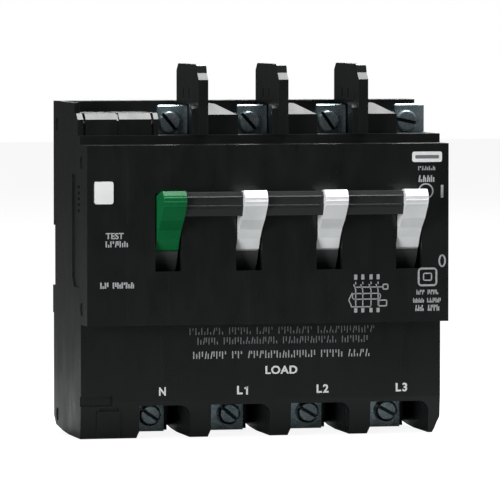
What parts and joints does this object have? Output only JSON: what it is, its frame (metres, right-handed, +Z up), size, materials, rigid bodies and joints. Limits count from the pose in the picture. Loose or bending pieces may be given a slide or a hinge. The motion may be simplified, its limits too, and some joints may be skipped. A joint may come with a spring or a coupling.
{
  "type": "residual current device",
  "caption": "Four-pole residual current circuit breaker in a black case with tied toggle handles, a test button, screw terminals and phase barriers, for a mini rail.",
  "frame": {"origin": "middle of the case's width, on the back plane, at the rail centre line", "axes": "+X to the right, +Y backwards out of the back face, +Z up"},
  "size_m": [0.117, 0.0612, 0.1174],
  "materials": {
    "black_moulding": "glossy thermoset",
    "black_handle": "satin",
    "green_handle": "satin",
    "white_handle": "satin",
    "white_button": "glossy",
    "zinc_steel": "zinc plated",
    "bare_steel": "bright",
    "black_steel": "blackened",
    "copper": "bare copper",
    "brass": "satin",
    "silver_contact": "satin",
    "enamel_copper": "enamelled",
    "fibre": "matt fibre board",
    "core_casing": "matt",
    "wire_cover": "wire insulation",
    "board": "solder mask",
    "component": "moulded",
    "resistor_body": "lacquered"
  },
  "bodies": {
    "case": {"rcd_case_left": "black_moulding", "neutral_case_left": "black_moulding", "case_n_l1": "black_moulding", "case_l1_l2": "black_moulding", "case_l2_l3": "black_moulding", "case_l3_right": "black_moulding", "phase_barrier_1": "black_moulding", "phase_barrier_2": "black_moulding", "phase_barrier_3": "black_moulding", "handle_pivot_pins": "bare_steel", "handle_springs": "bare_steel", "fixed_contact_tips": "silver_contact", "arm_pivot_pins": "bare_steel", "line_conductors": "zinc_steel", "load_conductors": "zinc_steel", "arc_chute_plates": "zinc_steel", "arc_chute_cheeks": "fibre", "magnet_frames": "bare_steel", "dashpot_tubes": "brass", "trip_coils": "enamel_copper", "flexible_braids": "copper", "toroid_core": "core_casing", "toroid_winding": "enamel_copper", "primary_leads": "wire_cover", "circuit_board": "board", "board_components": "component", "trip_solenoid_coil": "enamel_copper", "test_button_spring": "bare_steel", "test_contact_leaf": "brass", "test_resistor": "resistor_body", "line_clamp_plates": "zinc_steel", "load_clamp_plates": "zinc_steel", "case_rivets": "black_steel", "rail_latch_springs": "bare_steel"},
    "handles": {"handle_cap_n": "green_handle", "handle_cap_l1": "white_handle", "handle_cap_l2": "white_handle", "handle_cap_l3": "white_handle", "handle_hubs": "black_handle", "handle_tie_bar": "black_handle"},
    "contacts": {"contact_arms": "copper", "moving_contact_tips": "silver_contact"},
    "test_button": {"test_button": "white_button"},
    "solenoid_plunger": {"trip_solenoid_plunger": "bare_steel"},
    "trip_bar": {"trip_bar": "black_handle"},
    "rail_latch_left": {"rail_latch_left": "black_handle"},
    "rail_latch_right": {"rail_latch_right": "black_handle"},
    "armature_n": {"armature_n": "bare_steel"},
    "line_screw_n": {"line_screw_n": "zinc_steel"},
    "load_screw_n": {"load_screw_n": "zinc_steel"},
    "armature_l1": {"armature_l1": "bare_steel"},
    "line_screw_l1": {"line_screw_l1": "zinc_steel"},
    "load_screw_l1": {"load_screw_l1": "zinc_steel"},
    "armature_l2": {"armature_l2": "bare_steel"},
    "line_screw_l2": {"line_screw_l2": "zinc_steel"},
    "load_screw_l2": {"load_screw_l2": "zinc_steel"},
    "armature_l3": {"armature_l3": "bare_steel"},
    "line_screw_l3": {"line_screw_l3": "zinc_steel"},
    "load_screw_l3": {"load_screw_l3": "zinc_steel"}
  },
  "joints": [
    {"name": "handle_throw", "type": "hinge", "parent": "case", "child": "handles", "pos_m": [0, -0.028, 0.0073], "axis": [1, 0, 0], "range_deg": [0, 31]},
    {"name": "contact_opening", "type": "hinge", "parent": "case", "child": "contacts", "pos_m": [0, -0.019, -0.0032], "axis": [1, 0, 0], "range_deg": [0, 18]},
    {"name": "test_press", "type": "slide", "parent": "case", "child": "test_button", "axis": [0, 1, 0], "range_m": [0, 0.002], "deforming": ["test_button_spring"]},
    {"name": "solenoid_stroke", "type": "slide", "parent": "case", "child": "solenoid_plunger", "axis": [0, -1, 0], "range_m": [0, 0.003]},
    {"name": "trip_bar_turn", "type": "hinge", "parent": "case", "child": "trip_bar", "pos_m": [0, -0.034, -0.0152], "axis": [1, 0, 0], "range_deg": [0, 8]},
    {"name": "rail_latch_left_slide", "type": "slide", "parent": "case", "child": "rail_latch_left", "axis": [0, 0, -1], "range_m": [0, 0.0025], "deforming": ["rail_latch_springs"]},
    {"name": "rail_latch_right_slide", "type": "slide", "parent": "case", "child": "rail_latch_right", "axis": [0, 0, -1], "range_m": [0, 0.0025], "deforming": ["rail_latch_springs"]},
    {"name": "armature_n_pull", "type": "hinge", "parent": "case", "child": "armature_n", "pos_m": [-0.0325, -0.0148, -0.012], "axis": [1, 0, 0], "range_deg": [0, 5]},
    {"name": "line_screw_n_turn", "type": "hinge", "parent": "case", "child": "line_screw_n", "pos_m": [-0.026, -0.022, 0.0396], "axis": [0, -1, 0], "continuous": true},
    {"name": "load_screw_n_turn", "type": "hinge", "parent": "case", "child": "load_screw_n", "pos_m": [-0.0312, -0.017, -0.0537], "axis": [0, -1, 0], "continuous": true},
    {"name": "armature_l1_pull", "type": "hinge", "parent": "case", "child": "armature_l1", "pos_m": [-0.0065, -0.0148, -0.012], "axis": [1, 0, 0], "range_deg": [0, 5]},
    {"name": "line_screw_l1_turn", "type": "hinge", "parent": "case", "child": "line_screw_l1", "pos_m": [0, -0.022, 0.0396], "axis": [0, -1, 0], "continuous": true},
    {"name": "load_screw_l1_turn", "type": "hinge", "parent": "case", "child": "load_screw_l1", "pos_m": [-0.0052, -0.017, -0.0537], "axis": [0, -1, 0], "continuous": true},
    {"name": "armature_l2_pull", "type": "hinge", "parent": "case", "child": "armature_l2", "pos_m": [0.0195, -0.0148, -0.012], "axis": [1, 0, 0], "range_deg": [0, 5]},
    {"name": "line_screw_l2_turn", "type": "hinge", "parent": "case", "child": "line_screw_l2", "pos_m": [0.026, -0.022, 0.0396], "axis": [0, -1, 0], "continuous": true},
    {"name": "load_screw_l2_turn", "type": "hinge", "parent": "case", "child": "load_screw_l2", "pos_m": [0.0208, -0.017, -0.0537], "axis": [0, -1, 0], "continuous": true},
    {"name": "armature_l3_pull", "type": "hinge", "parent": "case", "child": "armature_l3", "pos_m": [0.0455, -0.0148, -0.012], "axis": [1, 0, 0], "range_deg": [0, 5]},
    {"name": "line_screw_l3_turn", "type": "hinge", "parent": "case", "child": "line_screw_l3", "pos_m": [0.052, -0.022, 0.0396], "axis": [0, -1, 0], "continuous": true},
    {"name": "load_screw_l3_turn", "type": "hinge", "parent": "case", "child": "load_screw_l3", "pos_m": [0.0468, -0.017, -0.0537], "axis": [0, -1, 0], "continuous": true}
  ],
  "couplings": [
    {"joint": "contact_opening", "follows": "handle_throw", "ratio": 0.58}
  ]
}
